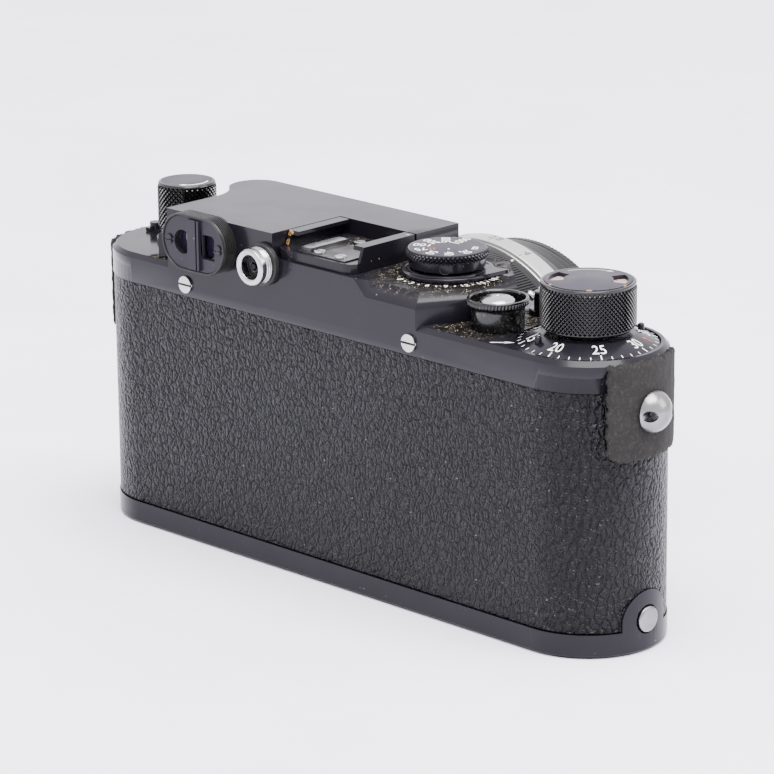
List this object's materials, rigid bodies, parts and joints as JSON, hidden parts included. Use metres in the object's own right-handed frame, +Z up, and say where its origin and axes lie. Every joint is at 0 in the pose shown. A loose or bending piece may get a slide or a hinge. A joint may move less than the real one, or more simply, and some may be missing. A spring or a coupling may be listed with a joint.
{
  "type": "rangefinder camera",
  "caption": "Screw-mount coupled rangefinder camera in worn black enamel, with knurled knobs, engraved dials, accessory shoe, flash socket, leather lug guards and a fast lens.",
  "frame": {"origin": "middle of the body's plan on the base's resting face", "axes": "+Z up, -Y the way the lens looks, +X towards the rewind end, which is on the right seen from the front"},
  "size_m": [0.1446, 0.063, 0.068],
  "materials": {
    "black_enamel": "worn glossy black enamel over brass",
    "vulcanite": "pebbled hard vulcanite covering",
    "shell_metal": "cast light alloy, blackened",
    "satin_chrome": "satin chrome plate",
    "bright_screw": "turned nickelled steel",
    "steel": "ground steel",
    "brass": "turned brass",
    "black_knurl": "black enamel on knurled brass",
    "pale_disc": "pale printed disc",
    "patch_leather": "worn grey-brown leather with frayed edges",
    "silver_ring": "satin silver ring with dark figures",
    "lens_black": "black anodised barrel",
    "optical_glass": "coated optical glass",
    "bakelite": "moulded black insulator",
    "curtain_cloth": "rubberised black silk"
  },
  "bodies": {
    "camera": {"body_shell": "shell_metal", "covering": "vulcanite", "base_stud": "satin_chrome", "top_cover": "black_enamel", "cover_screws": "bright_screw", "carrier_plate": "steel", "accessory_shoe": "black_enamel", "shoe_spring": "steel", "shoe_screws": "bright_screw", "eyepiece_block": "black_knurl", "eyepiece_plate": "black_enamel", "eyepiece_screws": "black_knurl", "eyepiece_lenses": "optical_glass", "sync_insulator": "bakelite", "sync_socket": "satin_chrome", "cover_pin": "bright_screw", "strap_lugs": "satin_chrome", "lug_patch_wind_end": "patch_leather", "lug_patch_rewind_end": "patch_leather", "release_guard": "black_knurl", "release_spring": "steel", "lens_flange": "satin_chrome", "flange_screws": "bright_screw", "front_windows": "optical_glass", "helicoid_body": "silver_ring", "shutter_crate": "shell_metal", "shutter_curtain": "curtain_cloth", "film_cassette": "brass"},
    "base": {"base_plate": "black_enamel", "tripod_bush": "brass"},
    "base_lock": {"lock_key": "satin_chrome"},
    "base_lock_bow": {"key_bow": "satin_chrome"},
    "winder": {"wind_knob": "black_knurl", "wind_knob_cap": "black_enamel", "wind_shaft": "steel"},
    "film_reminder": {"film_speed_disc": "pale_disc"},
    "frame_counter": {"counter_dial": "black_enamel", "counter_posts": "black_knurl"},
    "film_sprocket": {"sprocket": "steel"},
    "take_up": {"take_up_spool": "black_enamel"},
    "spindle": {"shutter_spindle": "steel"},
    "roller": {"curtain_roller": "steel"},
    "speed_sleeve": {"dial_sleeve": "steel"},
    "speed_selector": {"speed_dial": "black_knurl"},
    "flash_delay": {"sync_ring": "black_enamel"},
    "release": {"release_button": "satin_chrome"},
    "reversing": {"reversing_lever": "black_knurl"},
    "rewind_spindle": {"rewind_shaft": "steel"},
    "rewind_grip": {"rewind_knob": "black_knurl"},
    "diopter": {"diopter_lever": "black_enamel"},
    "slow_speed": {"slow_speed_dial": "black_knurl"},
    "focusing": {"focus_ring": "lens_black"},
    "barrel": {"lens_barrel": "silver_ring", "front_barrel": "lens_black", "front_rim": "lens_black", "lens_glass": "optical_glass", "iris_diaphragm": "steel"},
    "aperture": {"aperture_ring": "silver_ring"},
    "rangefinder": {"rangefinder_arm": "steel"},
    "film_pressure": {"pressure_plate": "black_enamel"}
  },
  "joints": [
    {"name": "base_hinge", "type": "hinge", "parent": "camera", "child": "base", "pos_m": [-0.0685, 0, 0.0119], "axis": [0, 1, 0], "range_deg": [0, 12]},
    {"name": "lock_turn", "type": "hinge", "parent": "base", "child": "base_lock", "pos_m": [0.053, 0, 0], "axis": [0, 0, 1], "range_deg": [0, 180]},
    {"name": "bow_fold", "type": "hinge", "parent": "base_lock", "child": "base_lock_bow", "pos_m": [0.053, 0, 0.00062], "axis": [-1, 0, 0], "range_deg": [0, 100]},
    {"name": "wind_turn", "type": "hinge", "parent": "camera", "child": "winder", "pos_m": [-0.0534, 0, 0.06], "axis": [0, 0, 1], "continuous": true},
    {"name": "reminder_turn", "type": "hinge", "parent": "winder", "child": "film_reminder", "pos_m": [-0.0534, 0, 0.066], "axis": [0, 0, 1], "continuous": true},
    {"name": "counter_turn", "type": "hinge", "parent": "camera", "child": "frame_counter", "pos_m": [-0.0534, 0, 0.0554], "axis": [0, 0, 1], "continuous": true},
    {"name": "sprocket_turn", "type": "hinge", "parent": "camera", "child": "film_sprocket", "pos_m": [-0.0358, 0.0049, 0.03], "axis": [0, 0, 1], "continuous": true},
    {"name": "take_up_turn", "type": "hinge", "parent": "camera", "child": "take_up", "pos_m": [-0.0534, 0, 0.03], "axis": [0, 0, 1], "continuous": true},
    {"name": "spindle_turn", "type": "hinge", "parent": "camera", "child": "spindle", "pos_m": [-0.0184, 0, 0.03], "axis": [0, 0, 1], "continuous": true},
    {"name": "roller_turn", "type": "hinge", "parent": "camera", "child": "roller", "pos_m": [0.027, 0.0006, 0.03], "axis": [0, 0, 1], "continuous": true},
    {"name": "speed_lift", "type": "slide", "parent": "spindle", "child": "speed_sleeve", "axis": [0, 0, 1], "range_m": [0, 0.0016], "stiffness_N_per_m": 200, "springref_m": -0.0002},
    {"name": "speed_turn", "type": "hinge", "parent": "speed_sleeve", "child": "speed_selector", "pos_m": [-0.0184, 0, 0.066], "axis": [0, 0, 1], "range_deg": [-160, 160]},
    {"name": "flash_delay_turn", "type": "hinge", "parent": "camera", "child": "flash_delay", "pos_m": [-0.0184, 0, 0.0625], "axis": [0, 0, 1], "range_deg": [-120, 0]},
    {"name": "release_press", "type": "slide", "parent": "camera", "child": "release", "axis": [0, 0, -1], "range_m": [0, 0.0022], "stiffness_N_per_m": 400, "springref_m": -0.0005, "deforming": ["release_spring"]},
    {"name": "reversing_turn", "type": "hinge", "parent": "camera", "child": "reversing", "pos_m": [-0.0356, -0.0074, 0.056], "axis": [0, 0, 1], "range_deg": [0, 70]},
    {"name": "rewind_turn", "type": "hinge", "parent": "camera", "child": "rewind_spindle", "pos_m": [0.053, 0, 0.06], "axis": [0, 0, 1], "continuous": true},
    {"name": "rewind_pull", "type": "slide", "parent": "rewind_spindle", "child": "rewind_grip", "axis": [0, 0, 1], "range_m": [0, 0.0055]},
    {"name": "diopter_turn", "type": "hinge", "parent": "camera", "child": "diopter", "pos_m": [0.053, 0, 0.056], "axis": [0, 0, 1], "range_deg": [-35, 0]},
    {"name": "slow_speed_turn", "type": "hinge", "parent": "camera", "child": "slow_speed", "pos_m": [-0.032, -0.018, 0.0376], "axis": [0, -1, 0], "range_deg": [0, 220]},
    {"name": "focus_turn", "type": "hinge", "parent": "camera", "child": "focusing", "pos_m": [0.001, -0.025, 0.0305], "axis": [0, -1, 0], "range_deg": [0, 170]},
    {"name": "barrel_travel", "type": "slide", "parent": "camera", "child": "barrel", "axis": [0, -1, 0], "range_m": [0, 0.0028]},
    {"name": "aperture_turn", "type": "hinge", "parent": "barrel", "child": "aperture", "pos_m": [0.001, -0.032, 0.0305], "axis": [0, -1, 0], "range_deg": [0, 110]},
    {"name": "rangefinder_swing", "type": "hinge", "parent": "camera", "child": "rangefinder", "pos_m": [0.022, -0.0086, 0.046], "axis": [0, 0, 1], "range_deg": [0, 8]},
    {"name": "pressure_travel", "type": "slide", "parent": "camera", "child": "film_pressure", "axis": [0, 1, 0], "range_m": [0, 0.0012], "stiffness_N_per_m": 500, "springref_m": -0.001}
  ],
  "couplings": [
    {"joint": "counter_turn", "follows": "wind_turn", "ratio": 0.025},
    {"joint": "sprocket_turn", "follows": "wind_turn", "ratio": -1.3077},
    {"joint": "take_up_turn", "follows": "wind_turn", "ratio": 1},
    {"joint": "spindle_turn", "follows": "wind_turn", "ratio": 1},
    {"joint": "roller_turn", "follows": "wind_turn", "ratio": 1},
    {"joint": "barrel_travel", "follows": "focus_turn", "m_per_rad": 0.00094275},
    {"joint": "rangefinder_swing", "follows": "focus_turn", "ratio": 0.047012}
  ]
}
